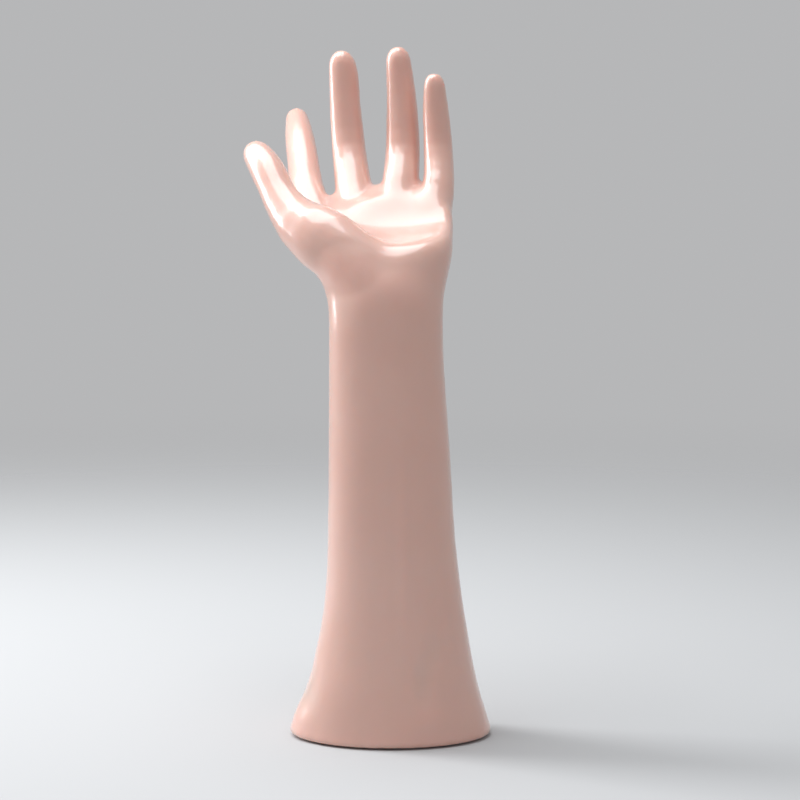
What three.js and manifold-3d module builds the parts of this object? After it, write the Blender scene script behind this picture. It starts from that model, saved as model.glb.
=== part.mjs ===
// A rigid display hand: a left hand with its forearm, standing upright on a flared oval base.
// Millimetres, +Z up. X runs across the palm from the thumb (-X) to the little finger (+X), and the palm
// faces -Y. The origin is on the floor, under the middle of the base.
import * as THREE from "three";
import { mergeVertices } from "three/addons/utils/BufferGeometryUtils.js";
import Module from "manifold-3d";

const wasm = await Module();
wasm.setup();

// ---- Driving dimensions ----
const WALL = 2.4; // thickness of the moulding
const GAP = 0.3; // between pieces that touch
// How finely the outside and the inside of the moulding are faceted.
const OUTSIDE = { inset: 0, armSides: 32, armSteps: 30, digitSides: 16, digitSteps: 10 };
const INSIDE = { inset: WALL, armSides: 20, armSteps: 18, digitSides: 8, digitSteps: 7 };
const DOME_RINGS = 4; // rings that round off the end of a limb
const DOME_LENGTH = 1.3; // of a fingertip, against its half depth

// The forearm and the palm are one tube of oval sections, from the lip of the base to the knuckles.
// Each station is [x, y, z, half width, half depth].
const ARM = [
  [0, 0, 3, 51.8, 34.5],
  [0, 0, 15, 49, 32.5],
  [1.2, 0, 39, 41.8, 29],
  [1.2, 0, 71, 36.1, 26.5],
  [0.2, 0, 102, 33.4, 25],
  [-1, 0, 150, 31.7, 24],
  [-2.4, 0, 195, 30, 22],
  [-2.7, 0, 222, 29.7, 20.5],
  [-3.4, 5, 237, 33, 19.5],
  [-4, 17, 250, 36, 16.5],
  [-7.5, 37, 263, 39, 13],
  [-9.2, 53.3, 273.2, 40.5, 10.2],
];
// Each digit is drawn through its joints, from the palm to the tip: [x, y, z, half width, half depth].
const DIGITS = {
  index: [
    [-39, 45, 264.5, 11, 10],
    [-45, 64, 280, 9.5, 9],
    [-48.3, 85, 296.5, 8.6, 8],
    [-51.2, 103, 310.8, 7.8, 7.2],
    [-52.7, 114.5, 319.2, 6.5, 6.2],
  ],
  middle: [
    [-18, 43, 265, 12.5, 10],
    [-20.3, 60, 283, 10, 9],
    [-23, 75, 303, 9.2, 8.6],
    [-25.4, 79, 328, 8, 7.4],
    [-26.9, 79, 347.6, 7, 6.5],
  ],
  ring: [
    [3.4, 43.5, 270.5, 11, 9.6],
    [4.9, 54, 285, 10, 9],
    [6.1, 67, 303, 9.3, 8.6],
    [5.5, 69.5, 328, 7.9, 7.4],
    [3.7, 66.8, 349.2, 6.6, 6.4],
  ],
  little: [
    [22, 38, 270.5, 10.6, 9.3],
    [25, 47, 284, 8.5, 8.4],
    [24.9, 57, 304, 7.6, 7.3],
    [23.6, 57, 322, 6.7, 6.3],
    [22.7, 53.2, 336, 5.6, 5.4],
  ],
  thumb: [
    [2, -1, 238, 12, 12],
    [-21, 3, 247, 17.3, 14.5],
    [-35, 11, 256.8, 17.2, 14.8],
    [-46.9, 21, 264.5, 13.8, 13],
    [-56, 30, 274.6, 10.1, 9.6],
    [-63, 41, 287, 8.9, 8.6],
    [-70.8, 53, 299.2, 7.7, 7.3],
  ],
};
// The fleshy pad along the little finger's side of the palm.
const HEEL_PAD = [
  [2, -1, 238, 12, 12],
  [15, 3, 246, 14.5, 14],
  [19.5, 18, 257, 13.2, 13],
  [21.3, 34, 267, 10.9, 11.5],
];
// The hollow of the palm is an egg-shaped dish, leaning back with the palm.
const HOLLOW = { centre: [-1, 11, 277.3], halfWidth: 45, halfLength: 31, halfDepth: 18.5, lean: 61 };

// The rolled lip draws in by this share of the base's size, down to its level underside. Inside it a
// solid flange surrounds the oval opening, which the cover closes.
const LIP = { bottom: 0.8, inwards: 0.045 };
const FLANGE_TOP = 6;
const OPENING = { halfWidth: 44.6, halfDepth: 27, top: FLANGE_TOP + 2 };
// The foot assembly, from the floor up.
const PAD = { halfWidth: 40, halfDepth: 22.5, bottom: 0, height: 2.2 };
const COVER = { halfWidth: 44.2, halfDepth: 26.6, bottom: PAD.height + GAP, height: 3, bossRadius: 4.2 };
const PLATE = { halfWidth: 30, halfDepth: 19, bottom: 8.4, height: 5 };
const BLOCK = { halfWidth: 42.6, halfDepth: 26.4, bottom: PLATE.bottom + PLATE.height + GAP, height: 12 };
const SCREW_TIP = BLOCK.bottom + 8;
const COVER_SCREW = { head: 3.1, headHeight: 1.7, shank: 1.6, x: 35, y: 8 };
const PLATE_SCREW = { head: 3.6, headHeight: 1.8, shank: 2, x: 18 };
const coverScrewPlaces = [-1, 1].flatMap((sideX) =>
  [-1, 1].map((sideY) => [sideX * COVER_SCREW.x, sideY * COVER_SCREW.y, COVER_SCREW.shank]),
);
const plateScrewPlaces = [-1, 1].map((sideX) => [sideX * PLATE_SCREW.x, 0, PLATE_SCREW.shank]);

const PLASTIC = new THREE.MeshStandardMaterial({ color: 0xecc4b4, roughness: 0.3, metalness: 0 });
const COVER_PLASTIC = new THREE.MeshStandardMaterial({ color: 0xd9b3a3, roughness: 0.55, metalness: 0 });
const PLYWOOD = new THREE.MeshStandardMaterial({ color: 0xc9a472, roughness: 0.75, metalness: 0 });
const STEEL = new THREE.MeshStandardMaterial({ color: 0x8c8f93, roughness: 0.45, metalness: 1 });
const ZINC = new THREE.MeshStandardMaterial({ color: 0xb9bcc0, roughness: 0.3, metalness: 1 });
const FELT = new THREE.MeshStandardMaterial({ color: 0x3a3a3d, roughness: 0.95, metalness: 0 });

// ---- Solids ----
function toSolid(geometry) {
  geometry.deleteAttribute("normal");
  geometry.deleteAttribute("uv");
  const merged = mergeVertices(geometry, 1e-4);
  return new wasm.Manifold(
    new wasm.Mesh({
      numProp: 3,
      vertProperties: new Float32Array(merged.attributes.position.array),
      triVerts: new Uint32Array(merged.index.array),
    }),
  );
}

function toMesh(name, solid, material) {
  const { vertProperties, triVerts } = solid.getMesh();
  const geometry = new THREE.BufferGeometry();
  geometry.setAttribute("position", new THREE.BufferAttribute(vertProperties, 3));
  geometry.setIndex(new THREE.BufferAttribute(triVerts, 1));
  geometry.computeVertexNormals();
  const mesh = new THREE.Mesh(geometry, material);
  mesh.name = name;
  return mesh;
}

// Joins a stack of rings, each a list of points, into one closed skin. Its ends are closed at their middles.
function skin(rings) {
  const sides = rings[0].length;
  const points = rings.flat();
  const middle = (ring) => ring.reduce((sum, p) => sum.add(p), new THREE.Vector3()).divideScalar(sides);
  const first = points.push(middle(rings[0])) - 1;
  const last = points.push(middle(rings.at(-1))) - 1;
  const faces = [];
  for (let j = 0; j < sides; j++) {
    const next = (j + 1) % sides;
    for (let i = 0; i + 1 < rings.length; i++) {
      const low = i * sides;
      const high = low + sides;
      faces.push(low + j, low + next, high + next, low + j, high + next, high + j);
    }
    const top = (rings.length - 1) * sides;
    faces.push(first, next, j, last, top + j, top + next);
  }
  const geometry = new THREE.BufferGeometry().setFromPoints(points);
  geometry.setIndex(faces);
  return toSolid(geometry);
}

// A tube of oval sections through stations, rounded off by a dome at each end. Inset makes the same tube
// smaller all round, for a cavity. A lip replaces the near dome by a quarter round and a level end.
function limb(stations, { sides, steps, inset = 0, lip = null }) {
  const path = new THREE.CatmullRomCurve3(stations.map(([x, y, z]) => new THREE.Vector3(x, y, z)));
  const sizes = new THREE.CatmullRomCurve3(stations.map(([, , , w, d]) => new THREE.Vector3(w, d, 0)));
  const section = (t, scale = 1, shift = 0) => {
    const along = path.getTangent(t);
    const back = new THREE.Vector3(0, 1, 0).addScaledVector(along, -along.y).normalize();
    const right = new THREE.Vector3().crossVectors(back, along);
    const size = sizes.getPoint(t);
    const ring = [];
    for (let j = 0; j < sides; j++) {
      const angle = (2 * Math.PI * j) / sides;
      const across = scale * (size.x - inset) * Math.cos(angle);
      const through = scale * (size.y - inset) * Math.sin(angle);
      const point = path.getPoint(t).addScaledVector(along, shift);
      ring.push(point.addScaledVector(right, across).addScaledVector(back, through));
    }
    return ring;
  };
  const domeRings = (t, direction) => {
    const length = DOME_LENGTH * (sizes.getPoint(t).y - inset);
    const rings = [];
    for (let k = 1; k <= DOME_RINGS; k++) {
      const angle = (k / (DOME_RINGS + 0.3)) * (Math.PI / 2);
      rings.push(section(t, Math.cos(angle), direction * length * Math.sin(angle)));
    }
    return rings;
  };
  const lipRings = () => {
    const rings = [];
    for (let k = 1; k <= DOME_RINGS; k++) {
      const angle = (k / DOME_RINGS) * (Math.PI / 2);
      rings.push(section(0, 1 - lip.inwards * (1 - Math.cos(angle)), -lip.height * Math.sin(angle)));
    }
    return rings;
  };
  const rings = (lip ? lipRings() : domeRings(0, -1)).reverse();
  for (let i = 0; i <= steps; i++) rings.push(section(i / steps));
  rings.push(...domeRings(1, 1));
  return skin(rings);
}

// An upright oval column with level ends.
function ovalColumn({ halfWidth, halfDepth, bottom, height }, sides = 48) {
  const geometry = new THREE.CylinderGeometry(1, 1, 1, sides);
  geometry.rotateX(Math.PI / 2);
  geometry.scale(halfWidth, halfDepth, height);
  geometry.translate(0, 0, bottom + height / 2);
  return toSolid(geometry);
}

// An upright round peg with level ends, its lower radius first.
function peg(x, y, bottom, top, lowRadius, highRadius = lowRadius, sides = 16) {
  const geometry = new THREE.CylinderGeometry(highRadius, lowRadius, top - bottom, sides);
  geometry.rotateX(Math.PI / 2);
  geometry.translate(x, y, (bottom + top) / 2);
  return toSolid(geometry);
}

const joined = (solids) => solids.reduce((all, next) => all.add(next));

// ---- Hand, forearm and flare: one hollow moulding ----
function handForm({ inset, armSides, armSteps, digitSides, digitSteps }, lip = null) {
  const arm = limb(ARM, { sides: armSides, steps: armSteps, inset, lip });
  const digit = (stations) => limb(stations, { sides: digitSides, steps: digitSteps, inset });
  const palm = arm.add(digit(HEEL_PAD)).subtract(palmHollow(inset));
  return joined([palm, ...Object.values(DIGITS).map(digit)]);
}

function palmHollow(margin) {
  const geometry = new THREE.SphereGeometry(1, 24, 14);
  const { centre, halfWidth, halfLength, halfDepth, lean } = HOLLOW;
  geometry.scale(halfWidth + margin, halfDepth + margin, halfLength + margin);
  geometry.rotateX(THREE.MathUtils.degToRad(-lean));
  geometry.translate(...centre);
  return toSolid(geometry);
}

// Everything below the top of the lip's flange, which the cavity leaves solid.
function belowFlange() {
  const geometry = new THREE.BoxGeometry(200, 200, 100);
  geometry.translate(0, 0, FLANGE_TOP - 50);
  return toSolid(geometry);
}

function handShell() {
  const outside = handForm(OUTSIDE, { ...LIP, height: ARM[0][2] - LIP.bottom });
  const cavity = handForm(INSIDE).subtract(belowFlange());
  const opening = ovalColumn({ ...OPENING, bottom: 0, height: OPENING.top });
  return outside.subtract(cavity).subtract(opening);
}

// ---- Foot assembly, inside the flare ----
function baseBlock() {
  const pilots = [...coverScrewPlaces, ...plateScrewPlaces].map(([x, y, radius]) =>
    peg(x, y, BLOCK.bottom - 1, SCREW_TIP + GAP, radius + GAP),
  );
  return ovalColumn(BLOCK).subtract(joined(pilots));
}

function ballastPlate() {
  const holes = plateScrewPlaces.map(([x, y, radius]) =>
    peg(x, y, PLATE.bottom - 1, PLATE.bottom + PLATE.height + 1, radius + GAP),
  );
  return ovalColumn(PLATE, 40).subtract(joined(holes));
}

// The cover carries four bosses, which reach up to the block and take its screws.
function coverPlate() {
  const top = COVER.bottom + COVER.height;
  const bosses = coverScrewPlaces.map(([x, y]) => peg(x, y, top - 1, BLOCK.bottom - GAP, COVER.bossRadius));
  const holes = coverScrewPlaces.map(([x, y, radius]) =>
    peg(x, y, COVER.bottom - 1, BLOCK.bottom + 1, radius + GAP),
  );
  const { head, headHeight, shank } = COVER_SCREW;
  const sinks = coverScrewPlaces.map(([x, y]) =>
    peg(x, y, COVER.bottom - GAP, COVER.bottom + headHeight + GAP, head + 2 * GAP, shank + GAP),
  );
  return joined([ovalColumn(COVER), ...bosses]).subtract(joined([...holes, ...sinks]));
}

// A countersunk screw, head down, with a cross recess.
function coverScrew(x, y) {
  const { head, headHeight, shank } = COVER_SCREW;
  const bottom = COVER.bottom + GAP / 2;
  const cone = peg(x, y, bottom, bottom + headHeight, head, shank);
  const stem = peg(x, y, bottom + headHeight / 2, SCREW_TIP - 2, shank);
  const point = peg(x, y, SCREW_TIP - 2, SCREW_TIP, shank, 0.3);
  return joined([cone, stem, point]).subtract(crossRecess(x, y, bottom, head));
}

// A pan-head screw, head down, with a cross recess.
function plateScrew(x, y) {
  const { head, headHeight, shank } = PLATE_SCREW;
  const top = PLATE.bottom - GAP;
  const pan = peg(x, y, top - headHeight, top, head * 0.86, head);
  const stem = peg(x, y, top - 0.5, SCREW_TIP - 2, shank);
  const point = peg(x, y, SCREW_TIP - 2, SCREW_TIP, shank, 0.3);
  return joined([pan, stem, point]).subtract(crossRecess(x, y, top - headHeight, head));
}

function crossRecess(x, y, faceHeight, head) {
  const slots = [0, 1].map((turn) => {
    const geometry = new THREE.BoxGeometry(head, 0.7, 1.6);
    geometry.rotateZ((turn * Math.PI) / 2);
    geometry.translate(x, y, faceHeight);
    return toSolid(geometry);
  });
  return joined(slots);
}

const hand = new THREE.Group();
hand.add(toMesh("hand_shell", handShell(), PLASTIC));
hand.add(toMesh("base_block", baseBlock(), PLYWOOD));
hand.add(toMesh("ballast_plate", ballastPlate(), STEEL));
hand.add(toMesh("cover_plate", coverPlate(), COVER_PLASTIC));
hand.add(toMesh("foot_pad", ovalColumn(PAD), FELT));
coverScrewPlaces.forEach(([x, y], i) => hand.add(toMesh(`cover_screw_${i + 1}`, coverScrew(x, y), ZINC)));
plateScrewPlaces.forEach(([x, y], i) => hand.add(toMesh(`ballast_screw_${i + 1}`, plateScrew(x, y), ZINC)));

export default hand;
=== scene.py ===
"""A rigid display hand: a left hand with its forearm on a flared oval base, and the foot assembly inside it.

The moulding is rounded out of the frame's own shell, so it keeps that shell's place and size.
Metres, +Z up; the palm faces -Y and the thumb is on the -X side.
"""

import math

import bmesh
import bpy
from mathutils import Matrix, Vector
from mathutils.bvhtree import BVHTree


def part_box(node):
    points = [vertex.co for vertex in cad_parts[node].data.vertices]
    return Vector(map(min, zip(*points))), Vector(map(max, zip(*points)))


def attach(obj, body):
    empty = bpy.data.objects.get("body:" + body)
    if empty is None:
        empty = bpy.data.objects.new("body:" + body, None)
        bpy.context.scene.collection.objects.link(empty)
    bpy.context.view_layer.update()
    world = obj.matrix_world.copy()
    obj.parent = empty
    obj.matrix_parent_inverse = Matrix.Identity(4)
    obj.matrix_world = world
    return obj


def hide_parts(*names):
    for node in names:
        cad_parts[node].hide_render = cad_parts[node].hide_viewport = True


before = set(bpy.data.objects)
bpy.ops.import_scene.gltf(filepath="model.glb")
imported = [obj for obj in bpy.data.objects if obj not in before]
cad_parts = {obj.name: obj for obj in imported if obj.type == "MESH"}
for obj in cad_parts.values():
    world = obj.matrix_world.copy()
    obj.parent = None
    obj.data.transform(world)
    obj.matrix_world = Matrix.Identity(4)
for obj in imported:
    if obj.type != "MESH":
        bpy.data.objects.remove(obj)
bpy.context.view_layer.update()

MM = 0.001

# ---- Sizes ----
SKIN_GRID = 1.22 * MM  # edge length of the moulding's outer mesh
COVER_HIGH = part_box("cover_plate")[1]
FLANGE_TOP = 6 * MM
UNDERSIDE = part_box("hand_shell")[0].z
OPENING_PLAY = 0.4 * MM  # between the cover's edge and the wall of the opening
OPENING = Vector((COVER_HIGH.x + OPENING_PLAY, COVER_HIGH.y + OPENING_PLAY, 0))  # the oval's half sizes
RIM_MERGE = 0.3 * MM  # points of the opening's edge nearer than this become one
PAD_LOW, PAD_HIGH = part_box("foot_pad")
WRIST = 200 * MM  # above here the cavity's wall keeps its distance from the rounded skin
THINNEST = 2 * MM
LONGEST_WALL_EDGE = 5 * MM  # a longer edge of the cavity's wall is split in three there
LEVEL_FOOT = 10 * MM  # below here the surface swells only sideways, so the underside stays level
PAD_SEGMENTS = 160
PAD_EDGE = 0.6 * MM  # radius of the felt pad's pressed edges
FIRST_FAIRING, LAST_FAIRING = 24, 6  # rounds before and after the facets are rounded off

# Plain smoothing that rounds off the shell's facets, most on the wide forearm: heights and rounds.
SOFTENING = [(4, 0), (8, 60), (212, 60), (245, 20), (285, 3), (400, 3)]
# Places on the moulding, where its creases are blended: centre, reach and rounds of smoothing.
BLENDS = [
    ((26, 22, 266), 19, 90),  # little finger's side of the palm's hollow
    ((8, 40, 273), 19, 80),  # roots of the fingers
    ((22, 38, 276), 12, 60),
    ((-12, 32, 269), 18, 90),
    ((13, -6, 250), 22, 180),  # heel of the palm
    ((22, 2, 254), 17, 70),
    ((-22, -12, 242), 31, 260),  # foot of the thumb's pad
    ((-44, 12, 258), 15, 35),
    ((18, -10, 236), 19, 90),
]
# Soft swells and dimples: centre, reach along X, Y and Z, and height along the surface's normal.
SWELLS = [
    ((21.5, -27, 50), (7, 12, 13), -0.8),  # a slanting dimple in the flare
    ((17, -29, 35), (7, 13, 15), -0.9),
    ((20, -32, 15), (13, 14, 9), 0.7),
    ((6, -25, 100), (5, 12, 75), 0.4),  # a long low ridge down the forearm
    ((33, 24, 267), (9, 16, 15), 0.9),
    ((-24, -13, 243), (20, 16, 15), 2.2),  # fills out the crease below the thumb's pad
    ((-12, -17, 232), (20, 14, 18), 1.0),
    ((12, -19, 233), (22, 12, 16), 1.0),
    ((-51, 0, 6), (15, 44, 17), 1.1),  # the flare's sides
    ((-46, 0, 28), (14, 44, 22), -1.4),
    ((49, 0, 15), (14, 40, 34), 0.4),
    ((-62, 45, 296), (17, 21, 19), 1.3),  # the thumb's soft tip
    ((-22, 79, 330), (14, 22, 45), 0.8),  # the fingers' girth
    ((-17, 79, 343), (8, 12, 16), 0.9),
    ((6, 68, 325), (14, 22, 48), 0.8),
    ((25, 57, 316), (12, 20, 40), 0.8),
    ((-48, 95, 303), (14, 26, 36), 0.6),
]
# The relief of a nail, in mm: the plate, the fold of skin beside it and at its tip, and the groove between.
NAIL_PLATE = 0.3
NAIL_FOLD = 0.16
NAIL_TIP_FOLD = 0.05
NAIL_GROOVE = 0.14
# Fingernails: middle, direction to the tip, direction out of the nail, half width and half length.
NAILS = {
    "index": ((-52.2, 114, 312), (-0.12, 0.78, 0.61), (0, 0.62, -0.78), 4.6, 6.0),
    "middle": ((-26.6, 85.6, 343), (-0.08, 0, 1), (0, 1, 0), 4.9, 6.4),
    "ring": ((4.2, 74.2, 344), (-0.09, -0.13, 1), (0, 1, 0.13), 4.7, 6.2),
    "little": ((23.1, 60, 331), (-0.06, -0.26, 0.96), (0, 0.96, 0.26), 4.0, 5.2),
    "thumb": ((-73, 56, 294), (-0.42, 0.62, 0.66), (-0.5, 0.4, -0.7), 5.2, 6.2),
}


# ---- Mesh helpers ----
def new_piece(name, mesh_or_bmesh):
    """An object at the origin, with its place in its mesh."""
    mesh = mesh_or_bmesh
    if isinstance(mesh_or_bmesh, bmesh.types.BMesh):
        mesh = bpy.data.meshes.new(name)
        mesh_or_bmesh.to_mesh(mesh)
        mesh_or_bmesh.free()
    mesh.name = name
    piece = bpy.data.objects.new(name, mesh)
    bpy.context.scene.collection.objects.link(piece)
    return piece


def shade_smooth(piece):
    for face in piece.data.polygons:
        face.use_smooth = True


def modified_mesh(piece):
    """The piece's mesh as its modifiers leave it."""
    graph = bpy.context.evaluated_depsgraph_get()
    return bpy.data.meshes.new_from_object(piece.evaluated_get(graph))


def smooth(shape, verts, factor=0.5):
    bmesh.ops.smooth_vert(
        shape, verts=verts, factor=factor, use_axis_x=True, use_axis_y=True, use_axis_z=True
    )


def fair(shape, rounds):
    """Evens out small facets and keeps the girth: each step of smoothing is followed by one back outwards."""
    for _ in range(rounds):
        smooth(shape, shape.verts, 0.5)
        smooth(shape, shape.verts, -0.53)


def soften(shape):
    """Rounds off facets, by as many rounds of smoothing as the height of the spot asks for."""

    def rounds_at(height):
        for (low, low_rounds), (high, high_rounds) in zip(SOFTENING, SOFTENING[1:]):
            if low <= height < high:
                return low_rounds + (high_rounds - low_rounds) * (height - low) / (high - low)
        return 0

    wanted = [(vert, rounds_at(vert.co.z / MM)) for vert in shape.verts]
    for step in range(max(rounds for _, rounds in SOFTENING)):
        smooth(shape, [vert for vert, rounds in wanted if rounds > step])


def blend_zone(shape, centre, reach, rounds):
    """Softens the creases round a point, most at its middle and not at all at its edge."""
    centre = Vector(centre) * MM
    depths = [(vert, 1 - (vert.co - centre).length / (reach * MM)) for vert in shape.verts]
    depths = [(vert, depth) for vert, depth in depths if depth > 0]
    for step in range(rounds):
        smooth(shape, [vert for vert, depth in depths if depth > step / rounds])


def swell(shape, centre, reach, height):
    """Raises the surface along its normals, fading to nothing at the edge of an egg-shaped zone."""
    centre = Vector(centre) * MM
    for vert in shape.verts:
        offset = vert.co - centre
        nearness = 1 - sum((offset[axis] / (reach[axis] * MM)) ** 2 for axis in range(3))
        if nearness > 0:
            way = vert.normal.copy()
            if vert.co.z < LEVEL_FOOT:
                way.z = 0
            vert.co += way * height * MM * nearness**2


# ---- The moulding ----
def oval_ratio(spot):
    """Below 1 inside the oval opening and above 1 outside it."""
    return (spot.x / OPENING.x) ** 2 + (spot.y / OPENING.y) ** 2


def shell_skin(node, inner):
    """One skin of the CAD shell, its outside or its cavity, without the wall of the opening."""
    shape = bmesh.new()
    shape.from_mesh(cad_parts[node].data)
    bmesh.ops.remove_doubles(shape, verts=shape.verts, dist=1e-6)

    def in_opening(face):
        spot = face.calc_center_median()
        upright = abs(face.normal.z) < 0.3 and spot.z < FLANGE_TOP
        return upright and oval_ratio(spot) < 1.02

    bmesh.ops.delete(shape, geom=[face for face in shape.faces if in_opening(face)], context="FACES")
    top = max(shape.verts, key=lambda vert: vert.co.z)
    outside, waiting = {top}, [top]
    while waiting:
        for edge in waiting.pop().link_edges:
            for vert in edge.verts:
                if vert not in outside:
                    outside.add(vert)
                    waiting.append(vert)
    unwanted = [vert for vert in shape.verts if (vert in outside) == inner]
    bmesh.ops.delete(shape, geom=unwanted, context="VERTS")
    return shape


def even_mesh(shape):
    """The same closed surface on an even grid of four-sided faces."""
    rough = new_piece("rough_skin", shape)
    grid = rough.modifiers.new("grid", "REMESH")
    grid.mode = "VOXEL"
    grid.voxel_size = SKIN_GRID
    even = bmesh.new()
    mesh = modified_mesh(rough)
    even.from_mesh(mesh)
    bpy.data.meshes.remove(mesh)
    bpy.data.objects.remove(rough)
    return even


def cut_opening(shape):
    """Opens the level underside along the oval of the cover, with a clean edge."""

    def inside(spot):
        return spot.z < UNDERSIDE + 1 * MM and oval_ratio(spot) < 1

    faces = [face for face in shape.faces if inside(face.calc_center_median())]
    bmesh.ops.delete(shape, geom=faces, context="FACES")
    rim = [vert for vert in shape.verts if vert.is_boundary]
    for vert in rim:
        turn = math.atan2(vert.co.y / OPENING.y, vert.co.x / OPENING.x)
        vert.co = (OPENING.x * math.cos(turn), OPENING.y * math.sin(turn), UNDERSIDE)
    bmesh.ops.remove_doubles(shape, verts=rim, dist=RIM_MERGE)


def line_cavity(shape):
    """Lines the moulding with the wall of its cavity, and joins the two round the opening."""
    skin = BVHTree.FromBMesh(shape)
    wall = shell_skin("hand_shell", inner=True)
    high_edges = [edge for edge in wall.edges if edge.verts[0].co.z > WRIST]
    long_edges = [edge for edge in high_edges if edge.calc_length() > LONGEST_WALL_EDGE]
    bmesh.ops.subdivide_edges(wall, edges=long_edges, cuts=2)
    for vert in wall.verts:
        if vert.co.z < WRIST:
            continue
        spot, outwards, _, _ = skin.find_nearest(vert.co)
        if (spot - vert.co).dot(outwards) < THINNEST:
            vert.co = spot - outwards * THINNEST
    cavity = new_piece("cavity", wall)
    shape.from_mesh(cavity.data)
    bpy.data.objects.remove(cavity)
    bmesh.ops.bridge_loops(shape, edges=[edge for edge in shape.edges if edge.is_boundary])


def raise_nail(shape, middle, along, out, half_width, half_length):
    """A moulded fingernail: a plate with a crisp edge and a fold of skin round its root."""
    middle = Vector(middle) * MM
    out = Vector(out).normalized()
    along = Vector(along)
    along = (along - along.project(out)).normalized()
    side = along.cross(out)
    near = [
        face
        for face in shape.faces
        if (face.calc_center_median() - middle).length < 1.7 * half_length * MM and face.normal.dot(out) > 0.1
    ]
    edges = {edge for face in near for edge in face.edges}
    bmesh.ops.subdivide_edges(shape, edges=list(edges), cuts=2, use_grid_fill=True)
    shape.normal_update()
    for vert in shape.verts:
        offset = (vert.co - middle) / MM
        if offset.length > 2 * half_length or vert.normal.dot(out) < 0:
            continue
        across, lengthways = offset.dot(side) / half_width, offset.dot(along) / half_length
        ring = (abs(across) ** 2.6 + abs(lengthways) ** 2.6) ** (1 / 2.6)  # 1 along the edge of the nail
        plate = min(max((1.0 - ring) / 0.14, 0), 1)
        fold = math.exp(-(((ring - 1.12) / 0.1) ** 2)) * (NAIL_FOLD if lengthways < 0.5 else NAIL_TIP_FOLD)
        groove = -NAIL_GROOVE * math.exp(-(((ring - 1.0) / 0.05) ** 2))
        height = NAIL_PLATE * plate * plate * (3 - 2 * plate) + fold + groove
        vert.co += out * height * MM


def hand_moulding():
    """The hand, forearm and flare as one closed shell, rounded and with its nails."""
    outside = shell_skin("hand_shell", inner=False)
    bmesh.ops.contextual_create(outside, geom=[edge for edge in outside.edges if edge.is_boundary])
    shape = even_mesh(outside)
    fair(shape, FIRST_FAIRING)
    soften(shape)
    for centre, reach, rounds in BLENDS:
        blend_zone(shape, centre, reach, rounds)
    fair(shape, LAST_FAIRING)
    shape.normal_update()
    for centre, reach, height in SWELLS:
        swell(shape, centre, reach, height)
    for nail in NAILS.values():
        raise_nail(shape, *nail)
    cut_opening(shape)
    line_cavity(shape)
    piece = new_piece("hand_moulding", shape)
    shade_smooth(piece)
    return piece


def felt_pad():
    """The pad under the foot: an oval of dense felt with pressed, rounded edges."""
    shape = bmesh.new()
    bmesh.ops.create_circle(shape, cap_ends=True, segments=PAD_SEGMENTS, radius=1)
    bmesh.ops.scale(shape, vec=(PAD_HIGH.x, PAD_HIGH.y, 1), verts=shape.verts)
    bmesh.ops.translate(shape, vec=(0, 0, PAD_LOW.z), verts=shape.verts)
    raised = bmesh.ops.extrude_face_region(shape, geom=shape.faces[:])
    lifted = [vert for vert in raised["geom"] if isinstance(vert, bmesh.types.BMVert)]
    bmesh.ops.translate(shape, vec=(0, 0, PAD_HIGH.z - PAD_LOW.z), verts=lifted)
    bmesh.ops.recalc_face_normals(shape, faces=shape.faces)
    corners = [edge for edge in shape.edges if abs(edge.verts[0].co.z - edge.verts[1].co.z) < 0.1 * MM]
    bmesh.ops.bevel(
        shape, geom=corners, offset=PAD_EDGE, segments=4, profile=0.5, affect="EDGES", material=-1
    )
    piece = new_piece("felt_foot_pad", shape)
    shade_smooth(piece)
    return piece


# ---- Materials ----
def new_material(name):
    material = bpy.data.materials.new(name)
    material.use_nodes = True
    return material, material.node_tree.nodes, material.node_tree.links


def pattern(nodes, links, kind, stretch=(1, 1, 1), **settings):
    """A procedural texture in the piece's own space, in metres."""
    place = nodes.new("ShaderNodeTexCoord")
    mapping = nodes.new("ShaderNodeMapping")
    mapping.inputs["Scale"].default_value = stretch
    links.new(place.outputs["Object"], mapping.inputs["Vector"])
    texture = nodes.new(kind)
    links.new(mapping.outputs["Vector"], texture.inputs["Vector"])
    for name, value in settings.items():
        texture.inputs[name.replace("_", " ")].default_value = value
    return texture


def ramp(nodes, links, factor, low, high, start=0.3, end=0.7):
    """Blends from one colour to another as the factor goes from start to end."""
    blend = nodes.new("ShaderNodeValToRGB")
    blend.color_ramp.elements[0].position = start
    blend.color_ramp.elements[1].position = end
    blend.color_ramp.elements[0].color = (*low, 1)
    blend.color_ramp.elements[1].color = (*high, 1)
    links.new(factor, blend.inputs["Fac"])
    return blend.outputs["Color"]


def spread(nodes, links, factor, low, high):
    """Turns a factor into a number between low and high."""
    span = nodes.new("ShaderNodeMapRange")
    span.inputs["To Min"].default_value = low
    span.inputs["To Max"].default_value = high
    links.new(factor, span.inputs["Value"])
    return span.outputs["Result"]


def bumps(nodes, links, *layers):
    """Stacks bump layers, each a height and its depth in metres, and gives the last one's normal."""
    normal = None
    for height, depth in layers:
        bump = nodes.new("ShaderNodeBump")
        bump.inputs["Distance"].default_value = depth
        links.new(height, bump.inputs["Height"])
        if normal:
            links.new(normal, bump.inputs["Normal"])
        normal = bump.outputs["Normal"]
    return normal


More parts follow.
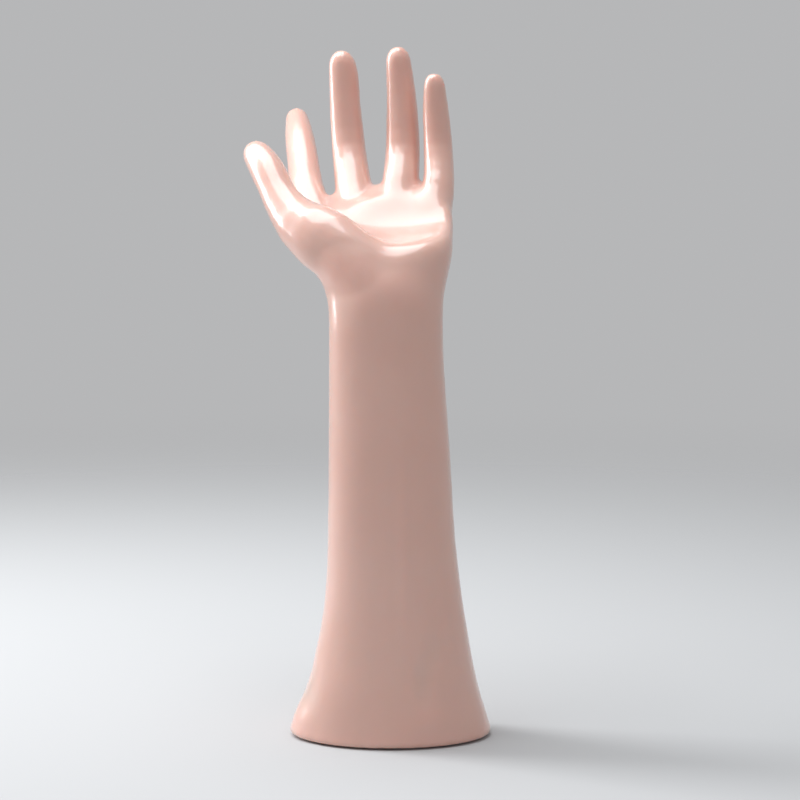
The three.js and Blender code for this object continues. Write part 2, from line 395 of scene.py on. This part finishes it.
def moulded_skin(name, light, deep, roughness, coat):
    """Peach plastic: slightly mottled, with a faint orange peel and the slow ripple of a moulding."""
    material, nodes, links = new_material(name)
    shader = nodes["Principled BSDF"]
    mottle = pattern(nodes, links, "ShaderNodeTexNoise", Scale=16, Detail=3, Roughness=0.5)
    links.new(ramp(nodes, links, mottle.outputs["Fac"], light, deep), shader.inputs["Base Color"])
    haze = pattern(nodes, links, "ShaderNodeTexNoise", Scale=45, Detail=4, Roughness=0.6)
    gloss = spread(nodes, links, haze.outputs["Fac"], roughness - 0.05, roughness + 0.06)
    links.new(gloss, shader.inputs["Roughness"])
    shader.inputs["Subsurface Weight"].default_value = 0.6
    shader.inputs["Subsurface Radius"].default_value = (1.0, 0.60, 0.42)
    shader.inputs["Subsurface Scale"].default_value = 0.006
    shader.inputs["Coat Weight"].default_value = coat
    shader.inputs["Coat Roughness"].default_value = 0.14
    ripple = pattern(nodes, links, "ShaderNodeTexNoise", stretch=(1, 1, 0.6), Scale=55, Detail=1)
    peel = pattern(nodes, links, "ShaderNodeTexNoise", Scale=620, Detail=2, Roughness=0.5)
    normal = bumps(nodes, links, (ripple.outputs["Fac"], 0.35 * MM), (peel.outputs["Fac"], 0.012 * MM))
    links.new(normal, shader.inputs["Normal"])
    return material


def birch_plywood():
    """Thin upright-grained plies, light and dark by turns, with fine grain along X on the faces."""
    material, nodes, links = new_material("birch_plywood")
    shader = nodes["Principled BSDF"]
    plies = pattern(nodes, links, "ShaderNodeTexWave", stretch=(0, 0, 1), Scale=110, Distortion=0.3)
    plies.bands_direction = "Z"
    along_x = (60, 900, 900)
    grain = pattern(nodes, links, "ShaderNodeTexNoise", stretch=along_x, Scale=1, Detail=6, Roughness=0.7)
    pale = ramp(nodes, links, grain.outputs["Fac"], (0.62, 0.42, 0.23), (0.50, 0.31, 0.15), 0.35, 0.65)
    dark = ramp(nodes, links, grain.outputs["Fac"], (0.40, 0.23, 0.10), (0.30, 0.16, 0.07), 0.35, 0.65)
    mix = nodes.new("ShaderNodeMix")
    mix.data_type = "RGBA"
    links.new(plies.outputs["Fac"], mix.inputs["Factor"])
    links.new(pale, mix.inputs["A"])
    links.new(dark, mix.inputs["B"])
    links.new(mix.outputs["Result"], shader.inputs["Base Color"])
    shader.inputs["Roughness"].default_value = 0.7
    links.new(bumps(nodes, links, (grain.outputs["Fac"], 0.08 * MM)), shader.inputs["Normal"])
    return material


def metal(name, colour, roughness, scratch):
    """Bare or plated steel, with fine scratches along X and a cloudy bloom."""
    material, nodes, links = new_material(name)
    shader = nodes["Principled BSDF"]
    shader.inputs["Metallic"].default_value = 1
    cloud = pattern(nodes, links, "ShaderNodeTexNoise", Scale=160, Detail=4)
    dull = tuple(channel * 0.8 for channel in colour)
    links.new(ramp(nodes, links, cloud.outputs["Fac"], colour, dull), shader.inputs["Base Color"])
    lines = pattern(nodes, links, "ShaderNodeTexNoise", stretch=(60, 2600, 2600), Scale=1, Detail=3)
    sheen = spread(nodes, links, lines.outputs["Fac"], roughness - 0.08, roughness + 0.12)
    links.new(sheen, shader.inputs["Roughness"])
    links.new(bumps(nodes, links, (lines.outputs["Fac"], scratch * MM)), shader.inputs["Normal"])
    return material


def wool_felt():
    """Dense charcoal felt: pressed fibres of two greys, with a soft bloom of fuzz at the edges."""
    material, nodes, links = new_material("wool_felt")
    shader = nodes["Principled BSDF"]
    fibres = pattern(nodes, links, "ShaderNodeTexNoise", Scale=1500, Detail=6, Roughness=0.75, Distortion=1.5)
    tufts = pattern(nodes, links, "ShaderNodeTexVoronoi", Scale=420)
    links.new(
        ramp(nodes, links, fibres.outputs["Fac"], (0.030, 0.030, 0.034), (0.085, 0.083, 0.086)),
        shader.inputs["Base Color"],
    )
    shader.inputs["Roughness"].default_value = 0.95
    shader.inputs["Sheen Weight"].default_value = 0.5
    shader.inputs["Sheen Roughness"].default_value = 0.5
    layers = ((tufts.outputs["Distance"], 0.15 * MM), (fibres.outputs["Fac"], 0.25 * MM))
    links.new(bumps(nodes, links, *layers), shader.inputs["Normal"])
    return material


def finish(node, material):
    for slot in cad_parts[node].material_slots:
        slot.material = material


# ---- The object ----
SKIN_LIGHT, SKIN_DEEP = (0.78, 0.475, 0.40), (0.75, 0.44, 0.365)
COVER_LIGHT, COVER_DEEP = (0.66, 0.44, 0.36), (0.62, 0.41, 0.33)

hand = hand_moulding()
hand.data.materials.append(moulded_skin("skin_plastic", SKIN_LIGHT, SKIN_DEEP, 0.34, 1.0))
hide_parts("hand_shell")
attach(hand, "root")

pad = felt_pad()
pad.data.materials.append(wool_felt())
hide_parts("foot_pad")
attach(pad, "root")

finish("cover_plate", moulded_skin("cover_plastic", COVER_LIGHT, COVER_DEEP, 0.5, 0))
finish("base_block", birch_plywood())
finish("ballast_plate", metal("oiled_steel", (0.42, 0.43, 0.45), 0.42, 0.03))
zinc = metal("zinc_plate", (0.70, 0.72, 0.75), 0.28, 0.01)
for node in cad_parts:
    if "_screw_" in node:
        finish(node, zinc)


# ---- Stage ----
PALM = Vector((-0.01, 0.03, 0.22))  # the lamps point at it
COOL_WHITE = (0.96, 0.98, 1.0)
FLOOR_COLOUR = (0.52, 0.525, 0.53, 1)
FLOOR_HALF_WIDTH = 4
FADE_START, FADE_END = 0.3, 1.5  # how far from the object the floor begins and ends its fade
SURROUND_COLOUR = (0.98, 0.985, 1.0, 1)
SURROUND_STRENGTH = 0.48


def floor():
    """A pale floor that fades into the pale surround."""
    shape = bmesh.new()
    bmesh.ops.create_grid(shape, x_segments=1, y_segments=1, size=FLOOR_HALF_WIDTH)
    piece = new_piece("floor", shape)
    material, nodes, links = new_material("floor")
    nodes["Principled BSDF"].inputs["Base Color"].default_value = FLOOR_COLOUR
    nodes["Principled BSDF"].inputs["Roughness"].default_value = 0.8
    nodes["Principled BSDF"].inputs["Specular IOR Level"].default_value = 0.2
    place = nodes.new("ShaderNodeTexCoord")
    far = nodes.new("ShaderNodeVectorMath")
    far.operation = "LENGTH"
    links.new(place.outputs["Object"], far.inputs[0])
    fade = nodes.new("ShaderNodeMapRange")
    fade.interpolation_type = "SMOOTHSTEP"
    fade.inputs["From Min"].default_value = FADE_START
    fade.inputs["From Max"].default_value = FADE_END
    links.new(far.outputs["Value"], fade.inputs["Value"])
    clear = nodes.new("ShaderNodeBsdfTransparent")
    mix = nodes.new("ShaderNodeMixShader")
    links.new(fade.outputs["Result"], mix.inputs["Fac"])
    links.new(nodes["Principled BSDF"].outputs["BSDF"], mix.inputs[1])
    links.new(clear.outputs["BSDF"], mix.inputs[2])
    links.new(mix.outputs["Shader"], nodes["Material Output"].inputs["Surface"])
    piece.data.materials.append(material)


def softbox(name, place, width, height, power, colour):
    """A rectangular lamp that faces the palm."""
    light = bpy.data.lights.new(name, "AREA")
    light.shape = "RECTANGLE"
    light.size = width
    light.size_y = height
    light.energy = power
    light.color = colour
    lamp = bpy.data.objects.new(name, light)
    lamp.location = place
    lamp.rotation_euler = (PALM - Vector(place)).to_track_quat("-Z", "Y").to_euler()
    bpy.context.scene.collection.objects.link(lamp)


def studio_surround():
    """An even pale light from all round."""
    world = bpy.data.worlds.new("studio")
    world.use_nodes = True
    background = world.node_tree.nodes["Background"]
    background.inputs["Color"].default_value = SURROUND_COLOUR
    background.inputs["Strength"].default_value = SURROUND_STRENGTH
    bpy.context.scene.world = world


floor()
softbox("key_softbox", (-0.90, 0.34, 0.75), 0.35, 1.2, 13, COOL_WHITE)
softbox("top_softbox", (-0.25, 0.05, 1.30), 0.9, 0.9, 12, COOL_WHITE)
studio_surround()
bpy.context.scene.view_settings.view_transform = "Standard"

# ---- Camera ----
CAMERA_PLACE = Vector((0.0046, -1.133, 0.300))
CAMERA_TARGET = Vector((0.0046, 0, 0.175))
camera = bpy.data.objects.new("camera", bpy.data.cameras.new("camera"))
camera.location = CAMERA_PLACE
camera.rotation_euler = (CAMERA_TARGET - camera.location).to_track_quat("-Z", "Y").to_euler()
camera.data.lens = 100
camera.data.sensor_width = 36
bpy.context.scene.collection.objects.link(camera)
bpy.context.scene.camera = camera
